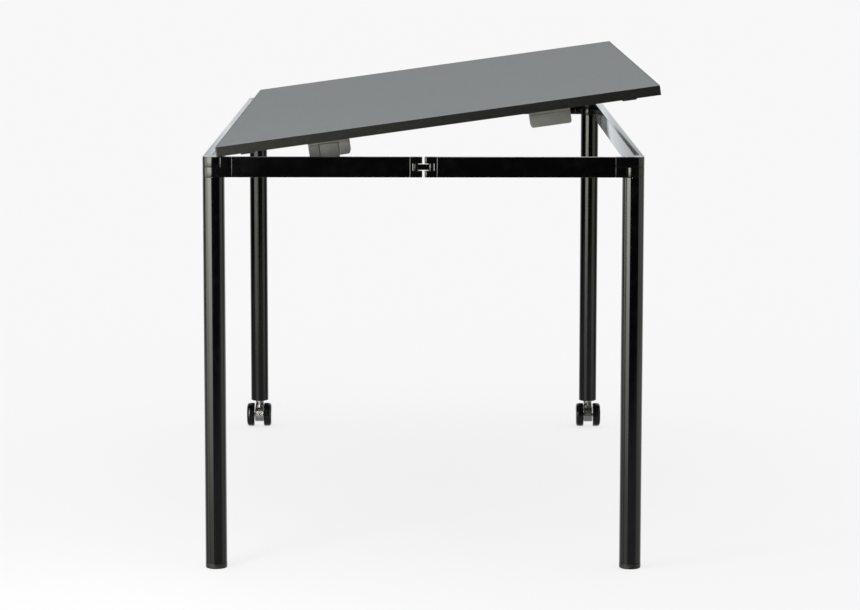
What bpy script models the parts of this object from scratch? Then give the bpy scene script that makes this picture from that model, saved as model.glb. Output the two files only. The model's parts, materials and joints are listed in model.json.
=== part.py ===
"""Drafting table: a tilting top on a frame that folds flat, with glides under one end and casters
under the other.

Units are metres. +Z is up, +Y runs along the table from the glide end to the caster end, and +X runs
across it from the hinge side to the raised side. The origin is on the floor, under the middle of the
table's own box.
"""

import math

import bmesh
import bpy
from mathutils import Matrix, Vector

# ---------------------------------------------------------------- driving dimensions
TOP_WIDTH = 0.750  # across, along X when flat
TOP_LENGTH = 1.500  # along Y
TOP_THICKNESS = 0.016
TOP_TILT = math.radians(8.0)  # how far the top is tilted at rest
TOP_OVERHANG = 0.003  # top past the frame at each end
EDGE_BAND = 0.0012

FRAME_TOP = 0.703  # height of the rails' upper faces
FRAME_WIDTH = 0.742  # across, over the legs
RAIL_THICKNESS = 0.015
RAIL_HEIGHT = 0.034
RAIL_WALL = 0.0020
RAIL_CORNER = 0.0012

LEG_RADIUS = 0.0185
LEG_WALL = 0.0020
CASTER_SOCKET = 0.030  # solid foot of a caster leg, bored for the caster's stem

CASTING_REACH = 0.031  # from the leg's axis to the seam with the rail
KNUCKLE_CLEARANCE = 0.0006
SPINDLE_RADIUS = 0.008
SPINDLE_COVER = 0.005  # casting left over the spindle's blind end
PLUG_DEPTH = 0.030  # spindle's plug inside the leg
TENON_LENGTH = 0.018

MID_CAP_LENGTH = 0.021
MID_GAP = 0.0037  # between the two caps of one end rail
LINK_PIN_SPACING = 0.026
LINK_END_RADIUS = 0.0045
LINK_HEIGHT = 0.012
LINK_PIN_RADIUS = 0.0022
CAP_NOSE_RADIUS = 0.004

PAD_THICKNESS = 0.0018
PAD_SIZE = 0.024
PAD_OFFSET = 0.322  # from the top's middle line, across
PAD_INSET = 0.003  # from the top's end
PAD_CORNER = 0.003
PAD_CLEARANCE = 0.0012  # pads above the end rails when the top is flat with nothing on it

BLOCK_WIDTH = 0.070
BLOCK_DEPTH = 0.050
BLOCK_HEIGHT = 0.0305
BLOCK_OFFSET = 0.189  # from the top's middle line, across
BLOCK_INSET = 0.068  # from the top's end
LATCH_WIDTH = 0.032
LATCH_DROP = 0.006
LATCH_LENGTH = 0.026
LATCH_TRAVEL = 0.006  # how far the sprung latch can be pressed into its block
LATCH_SLOT = 0.0225  # height of the latch's pocket in its block

TILT_AXIS_INBOARD = 0.022  # tilt axis from the top's hinge-side edge
TILT_AXIS_BELOW = 0.012  # tilt axis below the top's underside
RAISE_AXIS_GAP = 0.0045  # raise axis from the rail's inner face
RAISE_AXIS_ABOVE = 0.0005  # raise axis above the rails' upper faces
HINGE_OFFSET = 0.230  # each hinge from the table's middle, along Y
HINGE_BARREL = 0.040
HINGE_EAR = 0.010
RAISE_BARREL_RADIUS = 0.0035
TILT_BARREL_RADIUS = 0.0045
RAISE_PIN_RADIUS = 0.0016
TILT_PIN_RADIUS = 0.0022
HINGE_PLATE = 0.0030
RAISE_ARM_DROP = 0.0070  # underside of the raise arm below its axis
RAISE_ARM_FILLET = 0.0010
BRACKET_PLATE = 0.024
BRACKET_PLATE_END = 0.015  # plate past the ears at each end
BRACKET_PLATE_RAISE = 0.003  # plate's lower edge above the rail's
TOP_PLATE_LENGTH = 0.070
EAR_NOTCH_FLOOR = 0.0112  # notch below the raise axis
EAR_OPENING = 0.004  # opening below the raise barrel

GLIDE_HEIGHT = 0.009
GLIDE_PLUG = 0.022
GLIDE_CHAMFER = 0.002
PLUG_CHAMFER = 0.001

WHEEL_RADIUS = 0.025
WHEEL_WIDTH = 0.016
WHEEL_GAP = 0.020  # between the two wheels of one caster
WHEEL_ROUNDING = 0.006
WHEEL_HEADROOM = 0.004  # wheels' tops up to the caster legs' lower ends
WHEEL_FACE = 0.004  # wheel's closed outer face
WHEEL_CHAMFER = 0.0015
CASTER_TRAIL = 0.018  # axle behind the swivel axis
CASTER_SIDE_GAP = 0.0015
CASTER_STEM_RADIUS = 0.005
CASTER_NECK_RADIUS = 0.009
CASTER_CROWN = 0.0205  # bracket's top above the axle
CASTER_CROWN_ROUND = 0.010
CASTER_HOUSING = 0.0155  # radius of the bracket round the axle
CASTER_HEEL = 0.002  # lower front of the bracket past the swivel axis
CASTER_HEEL_DROP = 0.006  # centre of its rounding below the axle
CASTER_HEEL_ROUND = 0.008
STEM_SHORT = 0.002  # stem's end below the socket's bottom
AXLE_RADIUS = 0.003

FIT = 0.0003  # gap left between pieces that touch
OVERCUT = 0.001  # how far a cutter runs past the surface it opens
FINE_EDGE = 0.0004  # chamfer on castings, caps and pads
TUBE_EDGE = 0.0003
PIN_SHORT = 0.0006  # link pin's head below the rail's upper face
PIN_START = 0.0022  # link pin's lower end above the rail's lower face
SPINDLE_CHAMFER = 0.0008
FOOT_CHAMFER = 0.0010
BAND_CORNER = 0.002
BOARD_EDGE = 0.0002
BLOCK_EDGE = 0.002
LATCH_EDGE = 0.0012
ROUND_STEPS = 32

# ---------------------------------------------------------------- places worked out from them
SPACING_X = FRAME_WIDTH - 2 * LEG_RADIUS
SPACING_Y = TOP_LENGTH - 2 * TOP_OVERHANG - 2 * LEG_RADIUS
RAIL_BOTTOM = FRAME_TOP - RAIL_HEIGHT
RAIL_MIDDLE = FRAME_TOP - RAIL_HEIGHT / 2
TOP_UNDERSIDE = FRAME_TOP + PAD_CLEARANCE + PAD_THICKNESS + 2 * FIT
PIN_DEPTH = RAIL_THICKNESS / 2  # link pins sit in the middle of the rail
HALF_SPAN = SPACING_X / 2  # leg axis to the middle of an end rail
CASTER_LEG_BOTTOM = 2 * WHEEL_RADIUS + WHEEL_HEADROOM

TILT_AXIS_Z = TOP_UNDERSIDE - TILT_AXIS_BELOW
TOP_EDGE_INBOARD = 0.0098  # tilted top's lower edge from the hinge-side rail's inner face
TILT_EDGE_BACK = TILT_AXIS_INBOARD * math.cos(TOP_TILT) + TILT_AXIS_BELOW * math.sin(TOP_TILT)
FRAME_LEFT = -FRAME_WIDTH / 2
TILT_AXIS_X = FRAME_LEFT + RAIL_THICKNESS + TOP_EDGE_INBOARD + TILT_EDGE_BACK
TOP_RIGHT = TILT_AXIS_X - TILT_EDGE_BACK + TOP_WIDTH * math.cos(TOP_TILT)
CASTER_REACH = WHEEL_GAP / 2 + WHEEL_WIDTH  # swivel axis to a wheel's outer face
BOX_LEFT = -SPACING_X / 2 - max(LEG_RADIUS, CASTER_REACH)
BOX_MIDDLE = (BOX_LEFT + TOP_RIGHT) / 2  # taken off every X, so that the origin is under the box's middle
RAISE_AXIS_X = FRAME_LEFT + RAIL_THICKNESS + RAISE_AXIS_GAP
RAISE_AXIS_Z = FRAME_TOP + RAISE_AXIS_ABOVE

BLACK_GLOSS = ((0.010, 0.010, 0.011, 1.0), 0.16, 0.0)
BLACK_MATT = ((0.020, 0.020, 0.021, 1.0), 0.50, 0.0)
ANTHRACITE = ((0.060, 0.062, 0.064, 1.0), 0.45, 0.0)
EDGE_BLACK = ((0.025, 0.025, 0.024, 1.0), 0.40, 0.0)
GREY_PLASTIC = ((0.140, 0.138, 0.120, 1.0), 0.45, 0.0)
RUBBER = ((0.030, 0.030, 0.030, 1.0), 0.80, 0.0)
STEEL = ((0.560, 0.570, 0.580, 1.0), 0.28, 1.0)

table = bpy.data.collections.new("drafting_table")
cutters = bpy.data.collections.new("cutters")
axis_at = {}


# ---------------------------------------------------------------- small tools
def clear_scene():
    for obj in list(bpy.data.objects):
        bpy.data.objects.remove(obj)
    bpy.context.scene.collection.children.link(table)
    bpy.context.scene.collection.children.link(cutters)
    cutters.hide_render = True


def pivot(name, at, parent=None, tilt=0.0):
    """An empty on a joint's axis; what turns about that axis hangs from it."""
    empty = bpy.data.objects.new(name, None)
    empty.empty_display_size = 0.03
    table.objects.link(empty)
    axis_at[empty] = Vector(at)
    if parent:
        empty.parent = parent
    empty.location = Vector(at) - (axis_at[parent] if parent else Vector())
    empty.rotation_euler = (0, tilt, 0)
    return empty


def finish(obj, look):
    colour, roughness, metallic = look
    material = bpy.data.materials.new(obj.name + "_finish")
    material.use_nodes = True
    shader = material.node_tree.nodes["Principled BSDF"]
    shader.inputs["Base Color"].default_value = colour
    shader.inputs["Roughness"].default_value = roughness
    shader.inputs["Metallic"].default_value = metallic
    obj.data.materials.append(material)


def part(name, mesh, look, parent, at=(0, 0, 0), turn=(0, 0, 0)):
    """A named piece at a place in the table's frame, hung from its pivot."""
    obj = bpy.data.objects.new(name, mesh)
    table.objects.link(obj)
    obj.parent = parent
    obj.location = Vector(at) - axis_at[parent]
    obj.rotation_euler = turn
    finish(obj, look)
    return obj


def top_part(name, mesh, look, at, turn=(0, 0, 0)):
    """A piece of the top, placed from the tilt axis in the top's own frame."""
    obj = bpy.data.objects.new(name, mesh)
    table.objects.link(obj)
    obj.parent = tilt_axis
    obj.location = at
    obj.rotation_euler = turn
    finish(obj, look)
    return obj


def helper(mesh, obj, at=(0, 0, 0), turn=(0, 0, 0)):
    """A cutter, or a shape to join, placed in the frame of the piece that it works on."""
    tool = bpy.data.objects.new(obj.name + "_tool", mesh)
    cutters.objects.link(tool)
    tool.parent = obj
    tool.location = at
    tool.rotation_euler = turn
    tool.display_type = "WIRE"
    tool.hide_render = True
    return tool


def combine(obj, tool, operation):
    modifier = obj.modifiers.new(operation.lower(), "BOOLEAN")
    modifier.operation = operation
    modifier.solver = "EXACT"
    modifier.object = tool


def cut(obj, mesh, at=(0, 0, 0), turn=(0, 0, 0)):
    combine(obj, helper(mesh, obj, at, turn), "DIFFERENCE")


def join(obj, mesh, at=(0, 0, 0), turn=(0, 0, 0)):
    combine(obj, helper(mesh, obj, at, turn), "UNION")


def soften(obj, width, segments=2, degrees=50):
    modifier = obj.modifiers.new("soft_edges", "BEVEL")
    modifier.width = width
    modifier.segments = segments
    modifier.limit_method = "ANGLE"
    modifier.angle_limit = math.radians(degrees)


def smooth(mesh, degrees=35):
    mesh.shade_smooth()
    mesh.set_sharp_from_angle(angle=math.radians(degrees))


def block(size, low=None):
    """A box of a given size. It is centred on its origin unless low gives its lowest corner."""
    bm = bmesh.new()
    bmesh.ops.create_cube(bm, size=1.0)
    bmesh.ops.scale(bm, vec=size, verts=bm.verts)
    if low is not None:
        bmesh.ops.translate(bm, vec=Vector(low) + Vector(size) / 2, verts=bm.verts)
    mesh = bpy.data.meshes.new("block")
    bm.to_mesh(mesh)
    bm.free()
    return mesh


def rod(radius, low, high, steps=ROUND_STEPS, turn=None):
    """A plain cylinder along Z from low to high."""
    bm = bmesh.new()
    bmesh.ops.create_cone(
        bm, cap_ends=True, segments=steps, radius1=radius, radius2=radius, depth=high - low
    )
    bmesh.ops.translate(bm, vec=(0, 0, (low + high) / 2), verts=bm.verts)
    if turn:
        bmesh.ops.rotate(bm, cent=(0, 0, 0), matrix=turn, verts=bm.verts)
    mesh = bpy.data.meshes.new("rod")
    bm.to_mesh(mesh)
    bm.free()
    smooth(mesh)
    return mesh


def arc(centre, radius, start, end, steps):
    """Points along an arc, in degrees, both ends included."""
    points = []
    for i in range(steps + 1):
        angle = math.radians(start + (end - start) * i / steps)
        points.append((centre[0] + radius * math.cos(angle), centre[1] + radius * math.sin(angle)))
    return points


def rounded_box(width, height, radius, steps=3):
    x = width / 2 - radius
    y = height / 2 - radius
    points = arc((x, y), radius, 0, 90, steps)
    points += arc((-x, y), radius, 90, 180, steps)
    points += arc((-x, -y), radius, 180, 270, steps)
    points += arc((x, -y), radius, 270, 360, steps)
    return points


def extruded(outlines, height):
    """A flat outline, with any holes, pulled up along Z from 0 to height."""
    curve = bpy.data.curves.new("outline", "CURVE")
    curve.dimensions = "2D"
    curve.fill_mode = "BOTH"
    curve.extrude = height / 2
    for points in outlines:
        spline = curve.splines.new("POLY")
        spline.points.add(len(points) - 1)
        for point, (x, y) in zip(spline.points, points):
            point.co = (x, y, 0, 1)
        spline.use_cyclic_u = True
    guide = bpy.data.objects.new("outline", curve)
    cutters.objects.link(guide)
    graph = bpy.context.evaluated_depsgraph_get()
    mesh = bpy.data.meshes.new_from_object(guide.evaluated_get(graph))
    bpy.data.objects.remove(guide)
    bm = bmesh.new()
    bm.from_mesh(mesh)
    bmesh.ops.remove_doubles(bm, verts=bm.verts, dist=0.000001)
    bmesh.ops.translate(bm, vec=(0, 0, height / 2), verts=bm.verts)
    bmesh.ops.recalc_face_normals(bm, faces=bm.faces)
    bm.to_mesh(mesh)
    bm.free()
    mesh.materials.clear()
    smooth(mesh)
    return mesh


def outline_of(points, closed):
    """A turned piece's half section, given as (radius, height), as a mesh for a Screw."""
    mesh = bpy.data.meshes.new("section")
    edges = [(i, i + 1) for i in range(len(points) - 1)]
    if closed:
        edges.append((len(points) - 1, 0))
    mesh.from_pydata([(x, 0, z) for x, z in points], edges, [])
    return mesh


def turn_section(obj, steps=ROUND_STEPS):
    modifier = obj.modifiers.new("turned", "SCREW")
    modifier.axis = "Z"
    modifier.steps = steps
    modifier.render_steps = steps
    modifier.use_merge_vertices = True
    modifier.merge_threshold = 0.00001
    modifier.use_smooth_shade = True
    weighted = obj.modifiers.new("crisp", "WEIGHTED_NORMAL")
    weighted.keep_sharp = True


ABOUT_X = Matrix.Rotation(math.radians(90), 3, "X")
ABOUT_Y = Matrix.Rotation(math.radians(90), 3, "Y")
HALF_TURN = math.radians(180)
QUARTER_TURN = math.radians(90)


# ---------------------------------------------------------------- corner castings and rails
def casting_outline():
    """Knuckle round the leg's axis and a bar along +X whose outer face is flush with the leg at -Y."""
    inner = RAIL_THICKNESS - LEG_RADIUS
    meets = math.degrees(math.asin(inner / LEG_RADIUS))
    points = [(CASTING_REACH - FIT / 2, -LEG_RADIUS)]
    points += arc((0, 0), LEG_RADIUS, 270, meets, 28)
    points.append((CASTING_REACH - FIT / 2, inner))
    return points


def casting(name, parent, corner, turn, upper, flipped):
    """One leg's casting on a rail. It takes the upper or lower half of the height round the leg.

    turn swings its bar from +X. A flipped casting has its outer face on the other side of the bar.
    """
    mesh = extruded([casting_outline()], RAIL_HEIGHT)
    if flipped:
        mesh.transform(Matrix.Scale(-1, 4, (0, 1, 0)))
        mesh.flip_normals()
    obj = part(name, mesh, BLACK_GLOSS, parent, (*corner, RAIL_BOTTOM), (0, 0, turn))
    half = RAIL_HEIGHT / 2
    low, high = (-OVERCUT, half + FIT / 2) if upper else (half - FIT / 2, RAIL_HEIGHT + OVERCUT)
    cut(obj, rod(LEG_RADIUS + KNUCKLE_CLEARANCE, low, high, 48))
    bore_top = RAIL_HEIGHT - SPINDLE_COVER if upper else RAIL_HEIGHT + OVERCUT
    cut(obj, rod(SPINDLE_RADIUS + FIT, -OVERCUT, bore_top))
    soften(obj, FINE_EDGE, 1)
    side = -1 if not flipped else 1
    middle = side * (LEG_RADIUS - RAIL_THICKNESS / 2)
    inside = RAIL_THICKNESS - 2 * RAIL_WALL - 2 * FIT
    tall = RAIL_HEIGHT - 2 * RAIL_WALL - 2 * FIT
    tenon = block(
        (TENON_LENGTH + 2 * OVERCUT, inside, tall),
        (CASTING_REACH - 2 * OVERCUT, middle - inside / 2, (RAIL_HEIGHT - tall) / 2),
    )
    join(obj, tenon)
    return obj


def rail(name, parent, start, length, turn):
    """A hollow rail from start along +X, swung by turn about the vertical."""
    outer = rounded_box(RAIL_HEIGHT, RAIL_THICKNESS, RAIL_CORNER)
    inner = rounded_box(RAIL_HEIGHT - 2 * RAIL_WALL, RAIL_THICKNESS - 2 * RAIL_WALL, RAIL_CORNER / 2, 1)
    mesh = extruded([outer, inner], length)
    mesh.transform(Matrix.Rotation(QUARTER_TURN, 4, "Y"))
    return part(name, mesh, BLACK_GLOSS, parent, (*start, RAIL_MIDDLE), (0, 0, turn))


def leg_corner(side_x, side_y):
    return (side_x * SPACING_X / 2 - BOX_MIDDLE, side_y * SPACING_Y / 2)


def rotated(point, angle):
    x, y = point
    return (x * math.cos(angle) - y * math.sin(angle), x * math.sin(angle) + y * math.cos(angle))


# ---------------------------------------------------------------- middle joint of an end rail
def mid_cap(name, parent, corner, turn, flipped):
    """The slotted end cap of a half rail, measured from its leg's axis along +X."""
    end = HALF_SPAN - MID_GAP / 2
    start = end - MID_CAP_LENGTH + FIT / 2
    outer = -LEG_RADIUS
    inner = outer + RAIL_THICKNESS
    nose = CAP_NOSE_RADIUS
    points = [(start, inner), (start, outer)]
    points += arc((end - nose, outer + nose), nose, 270, 360, 5)
    points += arc((end - nose, inner - nose), nose, 0, 90, 5)
    mesh = extruded([points], RAIL_HEIGHT)
    side = 1
    if flipped:
        mesh.transform(Matrix.Scale(-1, 4, (0, 1, 0)))
        mesh.flip_normals()
        side = -1
    obj = part(name, mesh, BLACK_GLOSS, parent, (*corner, RAIL_BOTTOM), (0, 0, turn))
    soften(obj, FINE_EDGE, 1)
    pin_x = HALF_SPAN - LINK_PIN_SPACING / 2
    pin_y = side * (outer + PIN_DEPTH)
    slot = LINK_HEIGHT + 2 * FIT
    back = pin_x - LINK_END_RADIUS - 2 * FIT
    cut(obj, block((end - back + 2 * OVERCUT, RAIL_THICKNESS + 4 * OVERCUT, slot),
                   (back, pin_y - RAIL_THICKNESS / 2 - 2 * OVERCUT, (RAIL_HEIGHT - slot) / 2)))
    bore_low = PIN_START - FIT
    cut(obj, rod(LINK_PIN_RADIUS + FIT, bore_low, RAIL_HEIGHT + OVERCUT, 20), (pin_x, pin_y, 0))
    inside = RAIL_THICKNESS - 2 * RAIL_WALL - 2 * FIT
    tall = RAIL_HEIGHT - 2 * RAIL_WALL - 2 * FIT
    join(obj, block((TENON_LENGTH + 2 * OVERCUT, inside, tall),
                    (start - TENON_LENGTH, pin_y - inside / 2, (RAIL_HEIGHT - tall) / 2)))
    return obj


def link(name, parent, middle, side):
    """The flat link between the two caps, with a bore at each end."""
    reach = LINK_PIN_SPACING / 2
    points = arc((reach, 0), LINK_END_RADIUS, -90, 90, 8) + arc((-reach, 0), LINK_END_RADIUS, 90, 270, 8)
    bores = []
    for x in (-reach, reach):
        bores.append(arc((x, 0), LINK_PIN_RADIUS + FIT, 0, 342, 19))
    mesh = extruded([points] + bores, LINK_HEIGHT)
    at = (middle[0], middle[1] + side * (LEG_RADIUS - PIN_DEPTH), RAIL_MIDDLE - LINK_HEIGHT / 2)
    return part(name, mesh, STEEL, parent, at)


def link_pin(name, parent, at):
    top = RAIL_HEIGHT - PIN_SHORT
    obj = part(name, outline_of([
        (0, top),
        (LINK_PIN_RADIUS - FINE_EDGE, top),
        (LINK_PIN_RADIUS, top - FINE_EDGE),
        (LINK_PIN_RADIUS, PIN_START + FINE_EDGE),
        (LINK_PIN_RADIUS - FINE_EDGE, PIN_START),
        (0, PIN_START),
    ], False), STEEL, parent, (*at, RAIL_BOTTOM))
    turn_section(obj, 20)
    return obj


# ---------------------------------------------------------------- legs
def leg_tube(name, parent, corner, bottom):
    top = RAIL_BOTTOM - FIT
    bore = LEG_RADIUS - LEG_WALL
    obj = part(name, outline_of([
        (LEG_RADIUS - TUBE_EDGE, top),
        (LEG_RADIUS, top - TUBE_EDGE),
        (LEG_RADIUS, bottom + TUBE_EDGE),
        (LEG_RADIUS - TUBE_EDGE, bottom),
        (bore, bottom),
        (bore, top),
    ], True), BLACK_GLOSS, parent, (*corner, 0))
    turn_section(obj, 40)
    return obj


def caster_leg(name, parent, corner):
    """A leg tube whose foot is a solid socket for the caster's stem."""
    top = RAIL_BOTTOM - FIT
    bottom = CASTER_LEG_BOTTOM
    bore = LEG_RADIUS - LEG_WALL
    socket = CASTER_STEM_RADIUS + FIT
    obj = part(name, outline_of([
        (LEG_RADIUS - TUBE_EDGE, top),
        (LEG_RADIUS, top - TUBE_EDGE),
        (LEG_RADIUS, bottom + FOOT_CHAMFER),
        (LEG_RADIUS - FOOT_CHAMFER, bottom),
        (socket, bottom),
        (socket, bottom + CASTER_SOCKET),
        (bore, bottom + CASTER_SOCKET),
        (bore, top),
    ], True), BLACK_GLOSS, parent, (*corner, 0))
    turn_section(obj, 40)
    return obj


def spindle(name, parent, corner):
    """The plug in the leg's upper end, and the spindle that the two knuckles stack on."""
    top = FRAME_TOP - SPINDLE_COVER - FIT
    shoulder = RAIL_BOTTOM - 2 * FIT
    plug = LEG_RADIUS - LEG_WALL - FIT
    obj = part(name, outline_of([
        (0, top),
        (SPINDLE_RADIUS - SPINDLE_CHAMFER, top),
        (SPINDLE_RADIUS, top - SPINDLE_CHAMFER),
        (SPINDLE_RADIUS, shoulder),
        (plug, shoulder),
        (plug, shoulder - PLUG_DEPTH),
        (0, shoulder - PLUG_DEPTH),
    ], False), STEEL, parent, (*corner, 0))
    turn_section(obj)
    return obj


def glide(name, parent, corner):
    """The plastic foot of a glide leg, plugged into the tube."""
    plug = LEG_RADIUS - LEG_WALL - FIT
    top = GLIDE_HEIGHT
    obj = part(name, outline_of([
        (0, top + GLIDE_PLUG),
        (plug - PLUG_CHAMFER, top + GLIDE_PLUG),
        (plug, top + GLIDE_PLUG - PLUG_CHAMFER),
        (plug, top),
        (LEG_RADIUS - FINE_EDGE, top),
        (LEG_RADIUS, top - FINE_EDGE),
        (LEG_RADIUS, GLIDE_CHAMFER),
        (LEG_RADIUS - 0.3 * GLIDE_CHAMFER, 0.3 * GLIDE_CHAMFER),
        (LEG_RADIUS - GLIDE_CHAMFER, 0),
        (0, 0),
    ], False), BLACK_MATT, parent, (*corner, 0))
    turn_section(obj, 40)
    return obj


# ---------------------------------------------------------------- casters
def caster_body(name, parent, corner):
    """Stem, neck and the bracket between the wheels; it trails towards -Y."""
    width = WHEEL_GAP - 2 * CASTER_SIDE_GAP
    low = -CASTER_TRAIL
    crown = WHEEL_RADIUS + CASTER_CROWN
    side = arc((0, crown - CASTER_CROWN_ROUND), CASTER_CROWN_ROUND, 0, 90, 4)
    side += arc((low, WHEEL_RADIUS), CASTER_HOUSING, 110, 250, 8)
    side += arc((CASTER_HEEL, WHEEL_RADIUS - CASTER_HEEL_DROP), CASTER_HEEL_ROUND, 270, 360, 3)
    mesh = extruded([side], width)
    mesh.transform(Matrix.Rotation(QUARTER_TURN, 4, "X"))
    mesh.transform(Matrix.Rotation(QUARTER_TURN, 4, "Z"))
    mesh.transform(Matrix.Translation((-width / 2, 0, 0)))
    obj = part(name, mesh, STEEL, parent, (*corner, 0))
    join(obj, rod(CASTER_NECK_RADIUS, crown - CASTER_NECK_RADIUS, CASTER_LEG_BOTTOM - 2 * FIT, 24))
    stem_top = CASTER_LEG_BOTTOM + CASTER_SOCKET - STEM_SHORT
    join(obj, rod(CASTER_STEM_RADIUS, crown - CASTER_STEM_RADIUS, stem_top, 24))
    cut(obj, rod(AXLE_RADIUS + FIT, -width, width, 20, ABOUT_Y), (0, low, WHEEL_RADIUS))
    return obj


def caster_wheel(name, parent, at, side):
    """One wheel; its open hub faces the bracket and side says which way its face looks."""
    rounding = WHEEL_ROUNDING
    bore = AXLE_RADIUS + FIT
    edge = WHEEL_WIDTH - rounding
    points = [(0, WHEEL_WIDTH), (WHEEL_RADIUS - rounding, WHEEL_WIDTH)]
    for x, z in arc((WHEEL_RADIUS - rounding, edge), rounding, 90, 0, 5)[1:]:
        points.append((x, z))
    points += [(WHEEL_RADIUS, WHEEL_CHAMFER), (WHEEL_RADIUS - WHEEL_CHAMFER, 0)]
    points += [(bore, 0), (bore, WHEEL_WIDTH - WHEEL_FACE), (0, WHEEL_WIDTH - WHEEL_FACE)]
    obj = part(name, outline_of(points, False), BLACK_GLOSS, parent, at, (0, side * QUARTER_TURN, 0))
    turn_section(obj, 36)
    return obj


def build_caster(name, frame_body, corner):
    swivel = pivot(name + "_swivel", (*corner, 0), frame_body)
    caster_body(name + "_bracket", swivel, corner)
    axle_y = corner[1] - CASTER_TRAIL
    reach = WHEEL_GAP / 2 + WHEEL_WIDTH - WHEEL_FACE - OVERCUT
    axle = rod(AXLE_RADIUS, -reach, reach, 20, ABOUT_Y)
    part(name + "_axle", axle, STEEL, swivel, (corner[0], axle_y, WHEEL_RADIUS))
    for word, side in (("left", -1), ("right", 1)):
        at = (corner[0] + side * WHEEL_GAP / 2, axle_y, WHEEL_RADIUS)
        spin = pivot(f"{name}_{word}_wheel_spin", at, swivel)
        caster_wheel(f"{name}_{word}_wheel", spin, at, side)


# ---------------------------------------------------------------- hinges between frame and top
def barrel_outline(centre, radius, foot):
    """A round barrel on two straight flanks that run down to foot, a pair of (x, z) points."""
    (ax, az), (bx, bz) = foot
    return arc(centre, radius, 0, 180, 8) + [(ax, az), (bx, bz)]


def along_y(outline, length):
    """An outline drawn in X and Z, pulled along Y and centred on it."""
    mesh = extruded([outline], length)
    mesh.transform(Matrix.Rotation(QUARTER_TURN, 4, "X"))
    mesh.transform(Matrix.Translation((0, length / 2, 0)))
    return mesh


def hinge_bracket(name, parent, y):
    """The bracket on the hinge-side rail's inner face, with an ear on each side of the raise barrel."""
    face = -RAISE_AXIS_GAP + FIT
    drop = -RAISE_AXIS_ABOVE - RAIL_HEIGHT / 2
    ear = barrel_outline((0, 0), RAISE_BARREL_RADIUS, ((face, drop), (face + HINGE_PLATE, drop)))
    length = HINGE_BARREL + 2 * HINGE_EAR + 2 * FIT
    at = (RAISE_AXIS_X - BOX_MIDDLE, y, RAISE_AXIS_Z)
    obj = part(name, along_y(ear, length), STEEL, parent, at)
    gap = HINGE_BARREL + 2 * FIT
    wide = 4 * RAISE_BARREL_RADIUS
    low = RAISE_BARREL_RADIUS + EAR_OPENING
    # Two cutters make room for the barrel between the ears: one in front of the plate, one over it.
    front = (face + HINGE_PLATE - OVERCUT, -gap / 2, -EAR_NOTCH_FLOOR)
    cut(obj, block((wide, gap, EAR_NOTCH_FLOOR + low), front))
    cut(obj, block((2 * wide, gap, low + wide), (-wide, -gap / 2, -low)))
    plate = block(
        (HINGE_PLATE, length + 2 * BRACKET_PLATE_END, BRACKET_PLATE),
        (face, -length / 2 - BRACKET_PLATE_END, BRACKET_PLATE_RAISE - RAISE_AXIS_ABOVE - RAIL_HEIGHT),
    )
    join(obj, plate)
    cut(obj, rod(RAISE_PIN_RADIUS + FIT, -length, length, 16, ABOUT_X))
    return obj


def raise_arm(name, parent, y):
    """The arm that turns on the bracket and carries the tilt axis, with both pins pressed in."""
    dx = TILT_AXIS_X - RAISE_AXIS_X
    dz = TILT_AXIS_Z - RAISE_AXIS_Z
    low = -RAISE_ARM_DROP
    web = low + HINGE_PLATE
    outline = arc((0, 0), RAISE_BARREL_RADIUS, 0, 240, 12)
    outline += [(0, low), (dx, low)]
    outline += arc((dx, dz), TILT_BARREL_RADIUS, 270, 450, 12)
    outline += [(RAISE_BARREL_RADIUS + RAISE_ARM_FILLET, web), (RAISE_BARREL_RADIUS, web + RAISE_ARM_FILLET)]
    at = (RAISE_AXIS_X - BOX_MIDDLE, y, RAISE_AXIS_Z)
    obj = part(name, along_y(outline, HINGE_BARREL), STEEL, parent, at)
    reach = HINGE_BARREL / 2 + HINGE_EAR
    join(obj, rod(RAISE_PIN_RADIUS, -reach, reach, 16, ABOUT_X))
    join(obj, rod(TILT_PIN_RADIUS, -reach, reach, 16, ABOUT_X), (dx, 0, dz))
    return obj


def top_plate(name, y):
    """The plate screwed under the top, with an ear on each side of the tilt barrel."""
    ceiling = TILT_AXIS_BELOW - FIT
    floor = ceiling - HINGE_PLATE
    radius = TILT_BARREL_RADIUS
    ear = arc((0, 0), radius, 180, 360, 8) + [(radius, ceiling), (-radius, ceiling)]
    length = HINGE_BARREL + 2 * HINGE_EAR + 2 * FIT
    obj = top_part(name, along_y(ear, length), STEEL, (0, y, 0))
    gap = HINGE_BARREL + 2 * FIT
    wide = 4 * TOP_THICKNESS
    cut(obj, block((wide, gap, wide), (-wide / 2, -gap / 2, floor - wide)))
    cut(obj, rod(TILT_PIN_RADIUS + FIT, -length, length, 16, ABOUT_X))
    join(obj, block((TOP_PLATE_LENGTH, length, HINGE_PLATE), (-radius, -length / 2, floor)))
    return obj


# ---------------------------------------------------------------- the top
def top_box(size, low):
    """A box in the top's own frame, from its hinge-side lower edge."""
    shifted = (low[0] - TILT_AXIS_INBOARD, low[1], low[2] + TILT_AXIS_BELOW)
    return block(size, shifted)


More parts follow.
